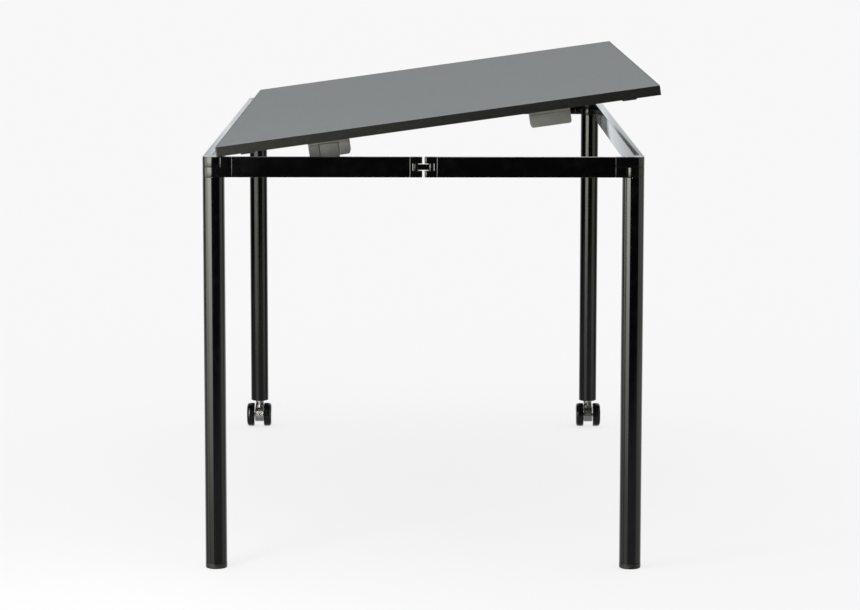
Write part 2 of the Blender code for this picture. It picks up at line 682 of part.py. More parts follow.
def build_top():
    band = EDGE_BAND
    core = top_box(
        (TOP_WIDTH - 2 * band - 2 * FIT, TOP_LENGTH - 2 * band - 2 * FIT, TOP_THICKNESS),
        (band + FIT, -TOP_LENGTH / 2 + band + FIT, 0),
    )
    soften(top_part("top_board", core, ANTHRACITE, (0, 0, 0)), BOARD_EDGE, 1)
    outer = rounded_box(TOP_WIDTH, TOP_LENGTH, BAND_CORNER)
    inner = rounded_box(TOP_WIDTH - 2 * band, TOP_LENGTH - 2 * band, BOARD_EDGE, 1)
    ring = extruded([outer, inner], TOP_THICKNESS)
    middle = TOP_WIDTH / 2 - TILT_AXIS_INBOARD
    top_part("edge_band", ring, EDGE_BLACK, (middle, 0, TILT_AXIS_BELOW))
    for end, side_y in (("near", -1), ("far", 1)):
        for side, side_x in (("left", -1), ("right", 1)):
            build_pad(f"pad_{end}_{side}", middle + side_x * PAD_OFFSET, side_y)
            build_block(f"{end}_{side}", middle + side_x * BLOCK_OFFSET, side_y, side_x < 0)


def build_pad(name, x, side_y):
    """A thin rubber pad near the end of the top, which lies on the end rail when the top is flat."""
    y = side_y * (TOP_LENGTH / 2 - PAD_INSET - PAD_SIZE / 2)
    at = (x, y, TILT_AXIS_BELOW - FIT - PAD_THICKNESS)
    pad = top_part(name, extruded([rounded_box(PAD_SIZE, PAD_SIZE, PAD_CORNER)], PAD_THICKNESS), RUBBER, at)
    soften(pad, FINE_EDGE, 1)


def build_block(where, x, side_y, has_latch):
    """A plastic block under the top. Those on the hinge side hold a latch that hangs behind the end rail."""
    y = side_y * (TOP_LENGTH / 2 - BLOCK_INSET - BLOCK_DEPTH / 2)
    size = (BLOCK_WIDTH, BLOCK_DEPTH, BLOCK_HEIGHT)
    mesh = block(size, (-BLOCK_WIDTH / 2, -BLOCK_DEPTH / 2, -BLOCK_HEIGHT))
    name = ("latch_block_" if has_latch else "rest_block_") + where
    obj = top_part(name, mesh, GREY_PLASTIC, (x, y, TILT_AXIS_BELOW - FIT))
    soften(obj, BLOCK_EDGE, 2)
    if not has_latch:
        return
    # The pocket is open below and in the block's outer face, which the latch is flush with.
    outward = side_y * BLOCK_DEPTH / 2
    deep = LATCH_LENGTH + LATCH_TRAVEL + FIT
    pocket = block(
        (LATCH_WIDTH + 2 * FIT, 2 * deep, 2 * LATCH_SLOT),
        (-LATCH_WIDTH / 2 - FIT, outward - deep, -BLOCK_HEIGHT - LATCH_SLOT),
    )
    cut(obj, pocket)
    tall = LATCH_SLOT - FIT + LATCH_DROP
    tongue = block((LATCH_WIDTH, LATCH_LENGTH, tall), (-LATCH_WIDTH / 2, -LATCH_LENGTH / 2, -tall))
    tongue_y = y + outward - side_y * LATCH_LENGTH / 2
    at = (x, tongue_y, TILT_AXIS_BELOW - BLOCK_HEIGHT + LATCH_SLOT - 2 * FIT)
    soften(top_part("latch_" + where, tongue, GREY_PLASTIC, at), LATCH_EDGE, 2)


# ---------------------------------------------------------------- the frame
def long_frame(side, side_x, body):
    """One long rail with its two castings, legs and spindles."""
    length = SPACING_Y - 2 * CASTING_REACH
    centre_x = side_x * (FRAME_WIDTH / 2 - RAIL_THICKNESS / 2) - BOX_MIDDLE
    rail(f"{side}_long_rail", body, (centre_x, -length / 2), length, QUARTER_TURN)
    for end, side_y in (("near", -1), ("far", 1)):
        corner = leg_corner(side_x, side_y)
        upper = side_x == side_y
        turn = -side_y * QUARTER_TURN
        flipped = side_x * side_y > 0
        casting(f"{side}_rail_casting_{end}", body, corner, turn, upper, flipped)
        spindle(f"spindle_{end}_{side}", body, corner)
        if side_y < 0:
            leg_tube(f"leg_{end}_{side}", body, corner, GLIDE_HEIGHT + FIT)
            glide(f"glide_{end}_{side}", body, corner)
        else:
            caster_leg(f"leg_{end}_{side}", body, corner)
            build_caster(f"caster_{side}", body, corner)


def half_rail(end, side, side_x, side_y, body):
    """Half of an end rail: its casting on the leg, its tube and its cap at the middle joint."""
    corner = leg_corner(side_x, side_y)
    turn = 0.0 if side_x < 0 else HALF_TURN
    upper = side_x != side_y
    flipped = side_x * side_y < 0
    name = f"{end}_{side}"
    casting(f"end_casting_{name}", body, corner, turn, upper, flipped)
    mid_cap(f"middle_cap_{name}", body, corner, turn, flipped)
    length = HALF_SPAN - MID_GAP / 2 - MID_CAP_LENGTH - CASTING_REACH
    start = rotated((CASTING_REACH, 0), turn)
    y = corner[1] + side_y * (LEG_RADIUS - RAIL_THICKNESS / 2)
    rail(f"end_rail_{name}", body, (corner[0] + start[0], y), length, turn)
    pin = rotated((HALF_SPAN - LINK_PIN_SPACING / 2, 0), turn)
    pin_at = (corner[0] + pin[0], corner[1] + side_y * (LEG_RADIUS - PIN_DEPTH))
    link_pin(f"link_pin_{name}", body, pin_at)


def pin_place(side_x, side_y):
    corner = leg_corner(-1, side_y)
    middle = corner[0] + HALF_SPAN
    return (middle + side_x * LINK_PIN_SPACING / 2, corner[1] + side_y * (LEG_RADIUS - PIN_DEPTH), 0)


clear_scene()
root = pivot("near_link", (0, 0, 0))
near_left = pivot("near_left_fold", pin_place(-1, -1), root)
left_frame = pivot("left_frame_turn", (*leg_corner(-1, -1), 0), near_left)
near_right = pivot("near_right_fold", pin_place(1, -1), root)
right_frame = pivot("right_frame_turn", (*leg_corner(1, -1), 0), near_right)
far_left = pivot("far_left_fold", (*leg_corner(-1, 1), 0), left_frame)
far_link = pivot("far_link_turn", pin_place(-1, 1), far_left)
far_right = pivot("far_right_fold", (*leg_corner(1, 1), 0), right_frame)
raise_axis = pivot("top_raise", (RAISE_AXIS_X - BOX_MIDDLE, 0, RAISE_AXIS_Z), left_frame)
tilt_axis = pivot("top_tilt", (TILT_AXIS_X - BOX_MIDDLE, 0, TILT_AXIS_Z), raise_axis, -TOP_TILT)

long_frame("left", -1, left_frame)
long_frame("right", 1, right_frame)
half_rail("near", "left", -1, -1, near_left)
half_rail("near", "right", 1, -1, near_right)
half_rail("far", "left", -1, 1, far_left)
half_rail("far", "right", 1, 1, far_right)
link("link_near", root, (leg_corner(-1, -1)[0] + HALF_SPAN, leg_corner(-1, -1)[1]), -1)
link("link_far", far_link, (leg_corner(-1, 1)[0] + HALF_SPAN, leg_corner(-1, 1)[1]), 1)
for place, side_y in (("near", -1), ("far", 1)):
    hinge_bracket(f"hinge_bracket_{place}", left_frame, side_y * HINGE_OFFSET)
    raise_arm(f"hinge_arm_{place}", raise_axis, side_y * HINGE_OFFSET)
    top_plate(f"hinge_plate_{place}", side_y * HINGE_OFFSET)
build_top()
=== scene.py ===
import json
import math

import bmesh
import bpy
from mathutils import Matrix, Vector


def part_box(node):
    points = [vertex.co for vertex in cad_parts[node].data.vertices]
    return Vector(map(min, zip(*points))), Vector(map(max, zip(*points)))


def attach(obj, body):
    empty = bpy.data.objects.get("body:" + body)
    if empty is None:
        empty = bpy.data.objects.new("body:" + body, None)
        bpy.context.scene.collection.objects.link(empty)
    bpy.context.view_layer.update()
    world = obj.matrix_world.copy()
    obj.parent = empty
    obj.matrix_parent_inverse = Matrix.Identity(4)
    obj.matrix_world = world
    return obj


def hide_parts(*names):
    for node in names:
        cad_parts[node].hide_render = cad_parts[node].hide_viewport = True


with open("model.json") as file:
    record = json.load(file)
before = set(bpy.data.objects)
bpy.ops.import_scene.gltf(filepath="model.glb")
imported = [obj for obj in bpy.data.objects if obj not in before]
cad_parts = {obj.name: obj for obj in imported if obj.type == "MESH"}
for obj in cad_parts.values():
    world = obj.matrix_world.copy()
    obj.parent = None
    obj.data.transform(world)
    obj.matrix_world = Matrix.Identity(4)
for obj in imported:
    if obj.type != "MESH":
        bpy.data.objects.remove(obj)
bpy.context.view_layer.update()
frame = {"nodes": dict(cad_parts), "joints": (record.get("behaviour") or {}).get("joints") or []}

# ---------------------------------------------------------------- sizes, as the frame was drawn
TILT = math.radians(8.0)
LEG_R = 0.0185
RAIL_T = 0.015
RAIL_H = 0.034
TOP_W = 0.750
TOP_L = 1.500
AXIS_IN = 0.022
AXIS_BELOW = 0.012
REACH = 0.031
KNUCKLE_GAP = 0.0006
LINK_GAP = 0.0037
PIN_SPACING = 0.026
LINK_R = 0.0045
LINK_H = 0.012
NOSE_R = 0.004
CAP_LENGTH = 0.021
FIT = 0.0003

left_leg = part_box("leg_near_left")
right_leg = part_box("leg_far_right")
LEFT_X = (left_leg[0].x + left_leg[1].x) / 2
RIGHT_X = (right_leg[0].x + right_leg[1].x) / 2
NEAR_Y = (left_leg[0].y + left_leg[1].y) / 2
FAR_Y = (right_leg[0].y + right_leg[1].y) / 2
FRAME_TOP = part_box("left_long_rail")[1].z
RAIL_LOW = FRAME_TOP - RAIL_H
RAIL_MID = FRAME_TOP - RAIL_H / 2


def joint_place(name):
    """A joint's axis point in the frame."""
    found = [joint for joint in frame["joints"] if joint["name"] == name]
    return Vector(found[0]["pos_m"])


TILT_AXIS = joint_place("top_tilt")
# From the top's own frame, flat and measured from its hinge-side lower edge, to where it stands tilted.
TOP_PLACE = (
    Matrix.Translation(TILT_AXIS)
    @ Matrix.Rotation(-TILT, 4, "Y")
    @ Matrix.Translation((-AXIS_IN, 0, AXIS_BELOW))
)
QUARTER = math.radians(90)


# ---------------------------------------------------------------- camera, studio and floor
CAMERA_LENS = 135.02
CAMERA_AT = (-0.0059, -6.1271, 1.1622)
CAMERA_PITCH = 0.1309
CAMERA_YAW = 0.0015
CAMERA_ROLL = -0.0010
SEEN_WHITE = (0.93, 0.93, 0.93, 1)
MIRRORED_WHITE = (0.93, 0.98, 1.0, 1)
FLOOR_MATT = (0.94, 0.94, 0.94, 1)
FLOOR_GLOW = (0.935, 0.935, 0.935, 1)
FLOOR_GLOW_SHARE = 0.8
FLOOR_HALF = 30.0
CARD_LOW = -2.2
CARD_HIGH = 3.4


def make_camera():
    data = bpy.data.cameras.new("camera")
    data.sensor_width = 36.0
    data.lens = CAMERA_LENS
    data.clip_end = 100.0
    camera = bpy.data.objects.new("camera", data)
    bpy.context.scene.collection.objects.link(camera)
    level = math.cos(CAMERA_PITCH)
    look = Vector((math.sin(CAMERA_YAW) * level, math.cos(CAMERA_YAW) * level, -math.sin(CAMERA_PITCH)))
    turn = look.to_track_quat("-Z", "Y").to_matrix().to_4x4()
    camera.matrix_world = Matrix.Translation(CAMERA_AT) @ turn @ Matrix.Rotation(-CAMERA_ROLL, 4, "Z")
    bpy.context.scene.camera = camera


SOFTBOX_TINT = (1.0, 1.0, 0.88)


def faded(nodes, links, value, low, high, new_low, new_high):
    """A value taken from one range to another and held at its ends."""
    node = nodes.new("ShaderNodeMapRange")
    node.inputs["From Min"].default_value = low
    node.inputs["From Max"].default_value = high
    node.inputs["To Min"].default_value = new_low
    node.inputs["To Max"].default_value = new_high
    links.new(value, node.inputs["Value"])
    return node.outputs[0]


def emitter(name, strength, low_z, high_z, low_share, bend=1.0, back=None):
    """A glowing warm white that fades downwards to low_share.

    back, as faded takes it after its value, fades it along Y as well.
    """
    material = bpy.data.materials.new(name)
    material.use_nodes = True
    nodes = material.node_tree.nodes
    links = material.node_tree.links
    nodes.clear()
    out = nodes.new("ShaderNodeOutputMaterial")
    glow = nodes.new("ShaderNodeEmission")
    links.new(glow.outputs[0], out.inputs["Surface"])
    glow.inputs["Color"].default_value = (*SOFTBOX_TINT, 1)
    place = nodes.new("ShaderNodeTexCoord")
    split = nodes.new("ShaderNodeSeparateXYZ")
    links.new(place.outputs["Object"], split.inputs[0])
    share = faded(nodes, links, split.outputs["Z"], low_z, high_z, 0.0, 1.0)
    curve = nodes.new("ShaderNodeMath")
    curve.operation = "POWER"
    curve.inputs[1].default_value = bend
    links.new(share, curve.inputs[0])
    level = faded(nodes, links, curve.outputs[0], 0.0, 1.0, low_share * strength, strength)
    if back is not None:
        along = faded(nodes, links, split.outputs["Y"], *back)
        product = nodes.new("ShaderNodeMath")
        product.operation = "MULTIPLY"
        links.new(level, product.inputs[0])
        links.new(along, product.inputs[1])
        level = product.outputs[0]
    links.new(level, glow.inputs["Strength"])
    return material


def card(name, corners, material):
    """A studio card that only reflections see."""
    bm = bmesh.new()
    bm.faces.new([bm.verts.new(corner) for corner in corners])
    mesh = bpy.data.meshes.new(name)
    bm.to_mesh(mesh)
    bm.free()
    obj = bpy.data.objects.new(name, mesh)
    bpy.context.scene.collection.objects.link(obj)
    mesh.materials.append(material)
    obj.visible_camera = False
    obj.visible_diffuse = False
    obj.visible_shadow = False


def standing_card(name, first, second, material):
    """A tall card standing between two points of the floor plan."""
    foot = [(*first, CARD_LOW), (*second, CARD_LOW)]
    head = [(*second, CARD_HIGH), (*first, CARD_HIGH)]
    card(name, foot + head, material)


def make_world():
    """Plain white to the eye; to reflections it is white behind the table and dark on the near side."""
    world = bpy.data.worlds.new("studio")
    bpy.context.scene.world = world
    world.use_nodes = True
    nodes = world.node_tree.nodes
    links = world.node_tree.links
    nodes.clear()
    out = nodes.new("ShaderNodeOutputWorld")
    seen = nodes.new("ShaderNodeBackground")
    seen.inputs["Color"].default_value = SEEN_WHITE
    lit = nodes.new("ShaderNodeBackground")
    mirrored = nodes.new("ShaderNodeBackground")
    mirrored.inputs["Color"].default_value = MIRRORED_WHITE
    lit.inputs["Color"].default_value = (1.0, 1.0, 1.0, 1)
    lit.inputs["Strength"].default_value = 1.0
    place = nodes.new("ShaderNodeTexCoord")
    split = nodes.new("ShaderNodeSeparateXYZ")
    side = nodes.new("ShaderNodeMapRange")
    side.interpolation_type = "SMOOTHSTEP"
    side.inputs["From Min"].default_value = 0.30
    side.inputs["From Max"].default_value = 0.90
    side.inputs["To Min"].default_value = 0.0
    side.inputs["To Max"].default_value = 1.0
    links.new(place.outputs["Generated"], split.inputs[0])
    links.new(split.outputs["Y"], side.inputs["Value"])
    links.new(side.outputs[0], mirrored.inputs["Strength"])
    ray = nodes.new("ShaderNodeLightPath")
    first = nodes.new("ShaderNodeMixShader")
    second = nodes.new("ShaderNodeMixShader")
    links.new(ray.outputs["Is Glossy Ray"], first.inputs[0])
    links.new(lit.outputs[0], first.inputs[1])
    links.new(mirrored.outputs[0], first.inputs[2])
    links.new(ray.outputs["Is Camera Ray"], second.inputs[0])
    links.new(first.outputs[0], second.inputs[1])
    links.new(seen.outputs[0], second.inputs[2])
    links.new(second.outputs[0], out.inputs["Surface"])


def make_floor():
    bm = bmesh.new()
    bmesh.ops.create_grid(bm, x_segments=1, y_segments=1, size=FLOOR_HALF)
    mesh = bpy.data.meshes.new("floor")
    bm.to_mesh(mesh)
    bm.free()
    floor = bpy.data.objects.new("floor", mesh)
    bpy.context.scene.collection.objects.link(floor)
    material = bpy.data.materials.new("pale_floor")
    material.use_nodes = True
    nodes = material.node_tree.nodes
    nodes.clear()
    out = nodes.new("ShaderNodeOutputMaterial")
    matt = nodes.new("ShaderNodeBsdfDiffuse")
    glow = nodes.new("ShaderNodeEmission")
    mix = nodes.new("ShaderNodeMixShader")
    matt.inputs["Color"].default_value = FLOOR_MATT
    glow.inputs["Color"].default_value = FLOOR_GLOW
    mix.inputs[0].default_value = FLOOR_GLOW_SHARE
    links = material.node_tree.links
    links.new(matt.outputs[0], mix.inputs[1])
    links.new(glow.outputs[0], mix.inputs[2])
    links.new(mix.outputs[0], out.inputs["Surface"])
    mesh.materials.append(material)
    floor.visible_glossy = False


def make_floor_glow():
    """The lit floor as the lower legs mirror it: a faint glow over the floor that only reflections see."""
    material = bpy.data.materials.new("floor_glow")
    material.use_nodes = True
    nodes = material.node_tree.nodes
    links = material.node_tree.links
    nodes.clear()
    out = nodes.new("ShaderNodeOutputMaterial")
    both = nodes.new("ShaderNodeAddShader")
    clear = nodes.new("ShaderNodeBsdfTransparent")
    glow = nodes.new("ShaderNodeEmission")
    place = nodes.new("ShaderNodeTexCoord")
    split = nodes.new("ShaderNodeSeparateXYZ")
    links.new(place.outputs["Object"], split.inputs[0])
    level = faded(nodes, links, split.outputs["Y"], -2.9, -1.45, 0.0, 0.25)
    links.new(level, glow.inputs["Strength"])
    links.new(glow.outputs[0], both.inputs[0])
    links.new(clear.outputs[0], both.inputs[1])
    links.new(both.outputs[0], out.inputs["Surface"])
    half, front, back, height = 3.0, -3.0, 0.9, 0.0006
    corners = [(-half, front, height), (half, front, height), (half, back, height), (-half, back, height)]
    card("floor_glow_card", corners, material)


def make_edge_light():
    """A small soft lamp low on the near left, which rakes the near edge and the blocks."""
    data = bpy.data.lights.new("edge_lamp", "AREA")
    data.shape = "RECTANGLE"
    data.size = 0.35
    data.size_y = 0.20
    data.energy = 6.5
    lamp = bpy.data.objects.new("edge_lamp", data)
    bpy.context.scene.collection.objects.link(lamp)
    spot = Vector((-0.80, -1.45, 0.64))
    aim = Vector((-0.15, -0.75, 0.74))
    turn = (aim - spot).to_track_quat("-Z", "Y").to_matrix().to_4x4()
    lamp.matrix_world = Matrix.Translation(spot) @ turn
    lamp.visible_glossy = False
    lamp.visible_camera = False


def make_studio():
    bpy.context.scene.view_settings.view_transform = "Standard"
    make_world()
    make_floor()
    soft_back = (-2.2, -1.5, 1.0, 0.55)
    soft = emitter("left_glow", 8.8, low_z=-0.43, high_z=0.50, low_share=0.07, bend=1.3, back=soft_back)
    standing_card("left_softbox", (-1.21, -3.13), (-2.9, -1.5), soft)
    near = emitter("left_near_glow", strength=3.6, low_z=-0.15, high_z=0.60, low_share=0.18)
    standing_card("left_near_card", (-1.30, -1.07), (-1.35, -0.55), near)
    right = emitter("right_glow", strength=0.85, low_z=-0.65, high_z=0.3, low_share=0.35)
    standing_card("right_softbox", (2.6, -2.2), (3.2, 0.4), right)
    make_floor_glow()
    make_edge_light()


make_camera()
make_studio()


# ---------------------------------------------------------------- node tools for the materials
class Finish:
    """A material under way: a Principled shader and the pattern nodes that feed it."""

    def __init__(self, name, colour, roughness, metallic=0.0):
        self.material = bpy.data.materials.new(name)
        self.material.use_nodes = True
        self.nodes = self.material.node_tree.nodes
        self.links = self.material.node_tree.links
        self.shader = self.nodes["Principled BSDF"]
        self.shader.inputs["Base Color"].default_value = (*colour, 1)
        self.shader.inputs["Roughness"].default_value = roughness
        self.shader.inputs["Metallic"].default_value = metallic
        self.place = self.nodes.new("ShaderNodeTexCoord").outputs["Object"]

    def set(self, socket, value):
        self.shader.inputs[socket].default_value = value

    def stretch(self, scale, turn=(0, 0, 0)):
        """Object coordinates turned and then stretched."""
        first = self.nodes.new("ShaderNodeMapping")
        first.inputs["Rotation"].default_value = turn
        second = self.nodes.new("ShaderNodeMapping")
        second.inputs["Scale"].default_value = scale
        self.links.new(self.place, first.inputs["Vector"])
        self.links.new(first.outputs[0], second.inputs["Vector"])
        return second.outputs[0]

    def noise(self, scale, detail=3.0, vector=None, roughness=0.55):
        node = self.nodes.new("ShaderNodeTexNoise")
        node.inputs["Scale"].default_value = scale
        node.inputs["Detail"].default_value = detail
        node.inputs["Roughness"].default_value = roughness
        self.links.new(vector or self.place, node.inputs["Vector"])
        return node.outputs["Fac"]

    def fit(self, value, low, high, new_low, new_high):
        return faded(self.nodes, self.links, value, low, high, new_low, new_high)

    def blend(self, share, first, second):
        node = self.nodes.new("ShaderNodeMix")
        node.data_type = "RGBA"
        for socket, value in ((6, first), (7, second)):
            if isinstance(value, tuple):
                node.inputs[socket].default_value = (*value, 1)
            else:
                self.links.new(value, node.inputs[socket])
        self.links.new(share, node.inputs[0])
        return node.outputs[2]

    def math(self, operation, first, second):
        node = self.nodes.new("ShaderNodeMath")
        node.operation = operation
        for socket, value in ((0, first), (1, second)):
            if isinstance(value, (int, float)):
                node.inputs[socket].default_value = value
            else:
                self.links.new(value, node.inputs[socket])
        return node.outputs[0]

    def colour(self, value):
        self.links.new(value, self.shader.inputs["Base Color"])

    def rough(self, value):
        self.links.new(value, self.shader.inputs["Roughness"])

    def bump(self, value, height, strength=1.0):
        node = self.nodes.new("ShaderNodeBump")
        node.inputs["Distance"].default_value = height
        node.inputs["Strength"].default_value = strength
        self.links.new(value, node.inputs["Height"])
        self.links.new(node.outputs[0], self.shader.inputs["Normal"])


# ---------------------------------------------------------------- the table's finishes
def black_lacquer(name, roughness, wear_scale, grain=220.0):
    """Gloss black powder coat: fine orange peel, dulled in patches and lighter where it is rubbed."""
    coat = Finish(name, (0.006, 0.006, 0.006), roughness)
    smudge = coat.noise(wear_scale, 4.0)
    fine = coat.noise(grain, 2.0)
    dust = coat.fit(coat.noise(wear_scale * 2.5, 6.0, None, 0.7), 0.5, 0.75, 0.0, 1.0)
    coat.colour(coat.blend(dust, (0.0012, 0.0012, 0.0013), (0.0040, 0.0040, 0.0042)))
    coat.rough(coat.fit(smudge, 0.3, 0.75, roughness, roughness + 0.05))
    coat.bump(fine, 0.00003, 0.2)
    coat.set("IOR", 1.52)
    return coat.material


def laminate():
    """Satin anthracite with faint brushed streaks across the board, wear patches and painted shade that
    darkens the far end.
    """
    board = Finish("top_laminate", (0.1, 0.1, 0.1), 0.45)
    streaks = board.noise(26.0, 5.0, board.stretch((1.6, 42.0, 12.0)), 0.62)
    threads = board.noise(60.0, 3.0, board.stretch((3.0, 60.0, 20.0)), 0.7)
    cloud = board.noise(3.2, 4.0)
    along = board.nodes.new("ShaderNodeSeparateXYZ")
    board.links.new(board.place, along.inputs[0])
    broad = board.math("MULTIPLY", streaks, 0.65)
    narrow = board.math("MULTIPLY", threads, 0.35)
    mixed = board.math("ADD", broad, narrow)
    tone = board.fit(mixed, 0.36, 0.66, 0.0, 1.0)
    base = board.blend(tone, (0.030, 0.0318, 0.0318), (0.058, 0.0615, 0.0615))
    patch = board.fit(cloud, 0.45, 0.8, 0.0, 0.35)
    toned = board.blend(patch, base, (0.052, 0.0545, 0.054))
    # painted shade: the base colour darkens steadily towards the far end of the board
    far_shade_share = board.fit(along.outputs["Y"], -TOP_L / 2, TOP_L / 2, 0.0, 0.8)
    board.colour(board.blend(far_shade_share, toned, (0.026, 0.0265, 0.026)))
    board.rough(board.fit(mixed, 0.3, 0.7, 0.50, 0.36))
    board.bump(mixed, 0.00012, 0.35)
    board.set("Specular IOR Level", 0.55)
    return board.material


def edge_banding():
    band = Finish("edge_band", (0.012, 0.012, 0.012), 0.4)
    run = band.noise(30.0, 4.0, band.stretch((2.0, 2.0, 24.0)))
    nicks = band.fit(band.noise(160.0, 3.0), 0.62, 0.8, 0.0, 1.0)
    share = band.fit(run, 0.3, 0.7, 0.0, 1.0)
    base = band.blend(share, (0.0016, 0.0019, 0.0017), (0.0032, 0.0036, 0.0032))
    band.colour(band.blend(nicks, base, (0.035, 0.035, 0.033)))
    band.rough(band.fit(run, 0.3, 0.7, 0.36, 0.46))
    band.bump(run, 0.0001, 0.3)
    return band.material


def grey_plastic():
    """Moulded grey plastic with a fine sparked grain."""
    body = Finish("grey_plastic", (0.13, 0.13, 0.118), 0.5)
    grain = body.noise(900.0, 2.0)
    cloud = body.noise(45.0, 4.0)
    share = body.fit(cloud, 0.35, 0.7, 0.0, 1.0)
    base = body.blend(share, (0.150, 0.150, 0.131), (0.182, 0.182, 0.160))
    speck = body.fit(grain, 0.58, 0.7, 0.0, 0.5)
    body.colour(body.blend(speck, base, (0.215, 0.215, 0.19)))
    body.rough(body.fit(cloud, 0.3, 0.7, 0.46, 0.58))
    body.bump(grain, 0.00006, 0.5)
    return body.material


def rubber():
    pad = Finish("pad_rubber", (0.02, 0.02, 0.02), 0.75)
    grain = pad.noise(500.0, 3.0)
    dust = pad.fit(pad.noise(60.0, 4.0), 0.45, 0.75, 0.0, 1.0)
    pad.colour(pad.blend(dust, (0.014, 0.014, 0.014), (0.036, 0.035, 0.033)))
    pad.rough(pad.fit(dust, 0.0, 1.0, 0.7, 0.9))
    pad.bump(grain, 0.0001, 0.5)
    return pad.material


def moulded_black(name, low, high, roughness):
    """Moulded black plastic, scuffed where it meets the floor."""
    body = Finish(name, (0.01, 0.01, 0.01), roughness)
    scuff = body.fit(body.noise(120.0, 5.0, None, 0.68), 0.52, 0.72, 0.0, 1.0)
    grain = body.noise(700.0, 2.0)
    body.colour(body.blend(scuff, low, high))
    body.rough(body.fit(scuff, 0.0, 1.0, roughness, roughness + 0.15))
    body.bump(grain, 0.00002, 0.2)
    return body.material


def bright_metal(name, colour, roughness, turn):
    """Plated steel with fine drawing lines along one direction."""
    plate = Finish(name, colour, roughness, 1.0)
    lines = plate.noise(120.0, 3.0, plate.stretch((1.0, 1.0, 18.0), turn), 0.6)
    tarnish = plate.fit(plate.noise(90.0, 5.0), 0.5, 0.8, 0.0, 1.0)
    worn = tuple(0.62 * part for part in colour)
    plate.colour(plate.blend(tarnish, colour, worn))
    plate.rough(plate.fit(lines, 0.3, 0.7, roughness * 0.8, roughness * 1.5))
    plate.bump(lines, 0.00001, 0.15)
    return plate.material


LAMINATE = laminate()
BANDING = edge_banding()
GREY = grey_plastic()
RUBBER = rubber()
LEG_BLACK = black_lacquer("leg_tube", 0.10, 14.0)
CASTING_BLACK = black_lacquer("black_casting", 0.13, 26.0, 300.0)
RAIL_BLACK = black_lacquer("black_rail", 0.08, 12.0)
GLIDE_BLACK = moulded_black("glide_plastic", (0.006, 0.006, 0.006), (0.030, 0.029, 0.027), 0.32)
WHEEL_BLACK = moulded_black("wheel_plastic", (0.003, 0.003, 0.003), (0.008, 0.008, 0.0075), 0.14)
CASTER_STEEL = bright_metal("caster_metal", (0.56, 0.56, 0.55), 0.24, (0, 0, 0))
PIN_STEEL = bright_metal("bright_steel", (0.62, 0.61, 0.58), 0.2, (0, QUARTER, 0))

FINISHES = [
    ("top_board", LAMINATE),
    ("edge_band", BANDING),
    ("pad_", RUBBER),
    ("latch_", GREY),
    ("rest_block", GREY),
    ("left_long_rail", RAIL_BLACK),
    ("right_long_rail", RAIL_BLACK),
    ("end_rail_", RAIL_BLACK),
    ("end_casting_", CASTING_BLACK),
    ("left_rail_casting", CASTING_BLACK),
    ("right_rail_casting", CASTING_BLACK),
    ("middle_cap_", CASTING_BLACK),
    ("hinge_bracket", CASTING_BLACK),
    ("hinge_arm", CASTING_BLACK),
    ("hinge_plate", CASTING_BLACK),
    ("link_pin_", PIN_STEEL),
    ("link_", CASTING_BLACK),
    ("spindle_", PIN_STEEL),
    ("leg_", LEG_BLACK),
    ("glide_", GLIDE_BLACK),
    ("caster_left_bracket", CASTER_STEEL),
    ("caster_right_bracket", CASTER_STEEL),
    ("caster_left_axle", CASTER_STEEL),
    ("caster_right_axle", CASTER_STEEL),
    ("caster_", WHEEL_BLACK),
]
for node_name, node in frame["nodes"].items():
    material = [finish for start, finish in FINISHES if node_name.startswith(start)][0]
    for seat in node.material_slots:
        seat.material = material


# ---------------------------------------------------------------- building the finer pieces
MERGE = 0.000001
SHARP_ANGLE = math.radians(38.0)


def piece(name, bm, material, body, places=None):
    """Turns a bmesh into one piece that rides on a body.

    places is the matrix from the piece's own frame to the table's.
    """
    bmesh.ops.remove_doubles(bm, verts=bm.verts, dist=MERGE)
    if places is not None:
        bmesh.ops.transform(bm, matrix=places, verts=bm.verts)
    bmesh.ops.recalc_face_normals(bm, faces=bm.faces)
    mesh = bpy.data.meshes.new(name)
    bm.to_mesh(mesh)
    bm.free()
    mesh.shade_smooth()
    mesh.set_sharp_from_angle(angle=SHARP_ANGLE)
    obj = bpy.data.objects.new(name, mesh)
    bpy.context.scene.collection.objects.link(obj)
    mesh.materials.append(material)
    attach(obj, body)
    return obj


def arc(cx, cy, radius, start, end, steps):
    """Points of an arc between two angles in degrees."""
    turn = [math.radians(start + (end - start) * step / steps) for step in range(steps + 1)]
    return [(cx + radius * math.cos(angle), cy + radius * math.sin(angle)) for angle in turn]


def slab(bm, outline, low, high, axis="Z", edge=0.0, segments=2):
    """Pulls an outline from low to high along an axis and rounds its two rims by edge."""
    places = {
        "X": lambda a, b, c: (c, a, b),
        "Y": lambda a, b, c: (a, c, b),
        "Z": lambda a, b, c: (a, b, c),
    }[axis]
    verts = [bm.verts.new(places(a, b, low)) for a, b in outline]
    first = bm.faces.new(verts)
    pulled = bmesh.ops.extrude_face_region(bm, geom=[first])
    moved = [item for item in pulled["geom"] if isinstance(item, bmesh.types.BMVert)]
    bmesh.ops.translate(bm, vec=places(0, 0, high - low), verts=moved)
    caps = [first] + [item for item in pulled["geom"] if isinstance(item, bmesh.types.BMFace)]
    if edge:
        rims = {rim for cap in caps if cap.is_valid for rim in cap.edges}
        bmesh.ops.bevel(
            bm,
            geom=list(rims),
            offset=edge,
            offset_type="OFFSET",
            segments=segments,
            profile=0.5,
            affect="EDGES",
            clamp_overlap=True,
            material=-1,
        )
    return caps


def turned(bm, profile, centre=(0, 0), steps=64):
    """Spins a profile of (radius, height) points about the vertical through centre."""
    ring = [bm.verts.new((radius, 0, height)) for radius, height in profile]
    edges = [bm.edges.new(pair) for pair in zip(ring, ring[1:])]
    bmesh.ops.spin(
        bm,
        geom=ring + edges,
        cent=(0, 0, 0),
        axis=(0, 0, 1),
        angle=2 * math.pi,
        steps=steps,
        use_merge=True,
    )
    bmesh.ops.translate(bm, vec=(centre[0], centre[1], 0), verts=bm.verts)


